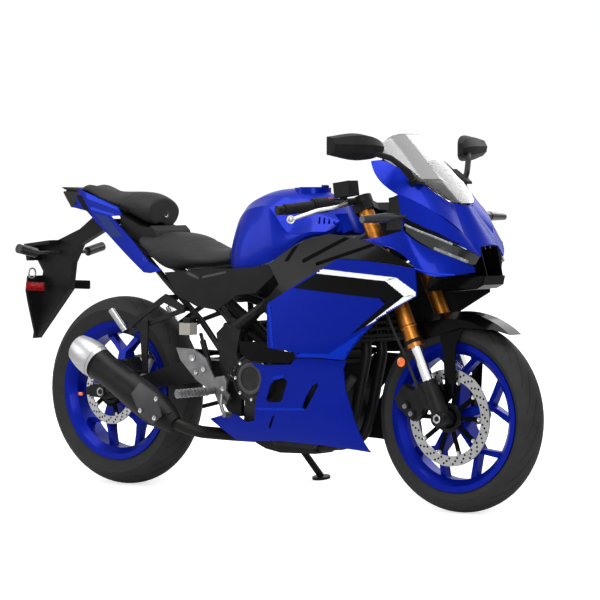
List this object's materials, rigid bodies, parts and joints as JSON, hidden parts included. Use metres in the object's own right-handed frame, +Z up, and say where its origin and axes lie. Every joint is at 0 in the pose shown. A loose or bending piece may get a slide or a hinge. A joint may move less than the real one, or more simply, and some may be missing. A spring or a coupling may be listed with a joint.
{
  "type": "sport motorcycle",
  "caption": "Faired sport motorcycle leaning on its side stand, with turning cast wheels, steering, folding stand and hinged filler cap.",
  "frame": {"origin": "middle of the bounding box on the ground", "axes": "+X forward, +Y to the rider's left (the side it leans to), +Z up"},
  "size_m": [2.097, 0.797, 1.1926],
  "materials": {
    "chain_guard": "matte",
    "cockpit_panels": "grained black",
    "drive_chain": "oiled",
    "engine": "satin black with darker covers",
    "exhaust_headers": "heat-tinted",
    "fork_clamps": "satin black",
    "fork_inners": "polished",
    "fork_legs": "satin black",
    "fork_outers": "gold anodised",
    "frame": "satin black",
    "front_brake": "satin black",
    "front_disc": "ground",
    "front_fender": "satin black",
    "front_indicators": "smoked lens",
    "front_rim": "gloss blue",
    "front_tyre": "matte",
    "fuel_cap": "satin",
    "fuel_tank": "gloss blue",
    "hand_controls": "black with bare metal levers",
    "handlebars": "satin black",
    "headlights": "dark lens",
    "infill_panels": "gloss black",
    "lower_cowls": "gloss blue",
    "mirrors": "satin black",
    "muffler": "satin black with a brushed cap",
    "nose_cowl": "gloss blue",
    "nose_intake": "matte",
    "pillion_hangers": "satin black",
    "pillion_seat": "gloss blue with a black pad",
    "plate_holder": "matte",
    "radiator": "matte",
    "rear_brake": "satin",
    "rear_disc": "ground",
    "rear_lamps": "clear red and smoked lenses",
    "rear_rim": "gloss blue",
    "rear_shock": "satin yellow spring",
    "rear_sprocket": "oiled",
    "rear_tyre": "matte",
    "rider_footrests": "graphite",
    "rider_seat": "grained black",
    "side_covers": "grained black",
    "side_fairings": "gloss blue with black and white bands",
    "side_stand": "satin black",
    "swingarm": "satin black",
    "tail_panels": "gloss blue",
    "windscreen": "clear"
  },
  "bodies": {
    "chassis": {"chain_guard": "chain_guard", "cockpit_panels": "cockpit_panels", "drive_chain": "drive_chain", "engine": "engine", "exhaust_headers": "exhaust_headers", "frame": "frame", "front_indicators": "front_indicators", "fuel_tank": "fuel_tank", "headlights": "headlights", "infill_panels": "infill_panels", "lower_cowls": "lower_cowls", "mirrors": "mirrors", "muffler": "muffler", "nose_cowl": "nose_cowl", "nose_intake": "nose_intake", "pillion_hangers": "pillion_hangers", "pillion_seat": "pillion_seat", "plate_holder": "plate_holder", "radiator": "radiator", "rear_brake": "rear_brake", "rear_lamps": "rear_lamps", "rear_shock": "rear_shock", "rider_footrests": "rider_footrests", "rider_seat": "rider_seat", "side_covers": "side_covers", "side_fairings": "side_fairings", "swingarm": "swingarm", "tail_panels": "tail_panels", "windscreen": "windscreen"},
    "steering": {"fork_clamps": "fork_clamps", "fork_outers": "fork_outers", "fork_inners": "fork_inners", "fork_legs": "fork_legs", "handlebars": "handlebars", "hand_controls": "hand_controls", "front_fender": "front_fender", "front_brake": "front_brake"},
    "front_wheel": {"front_rim": "front_rim", "front_tyre": "front_tyre", "front_disc": "front_disc"},
    "rear_wheel": {"rear_rim": "rear_rim", "rear_tyre": "rear_tyre", "rear_disc": "rear_disc", "rear_sprocket": "rear_sprocket"},
    "side_stand_leg": {"side_stand": "side_stand"},
    "filler_cap": {"fuel_cap": "fuel_cap"}
  },
  "joints": [
    {"name": "steering", "type": "hinge", "parent": "chassis", "child": "steering", "pos_m": [0.42832, -0.02513, 0.89418], "axis": [-0.4226, 0.134, 0.8964], "range_deg": [-34, 34]},
    {"name": "front_wheel_spin", "type": "hinge", "parent": "steering", "child": "front_wheel", "pos_m": [0.7545, -0.11518, 0.29164], "axis": [0, 0.989, -0.1478], "continuous": true},
    {"name": "rear_wheel_spin", "type": "hinge", "parent": "chassis", "child": "rear_wheel", "pos_m": [-0.6255, -0.11222, 0.31142], "axis": [0, 0.989, -0.1478], "continuous": true},
    {"name": "side_stand_fold", "type": "hinge", "parent": "chassis", "child": "side_stand_leg", "pos_m": [-0.0295, -0.00248, 0.17975], "axis": [-0.1418, 0.9784, 0.1501], "range_deg": [0, 95]},
    {"name": "filler_cap_hinge", "type": "hinge", "parent": "chassis", "child": "filler_cap", "pos_m": [0.224, -0.01127, 0.98692], "axis": [0, 0.989, -0.1478], "range_deg": [0, 100]}
  ]
}
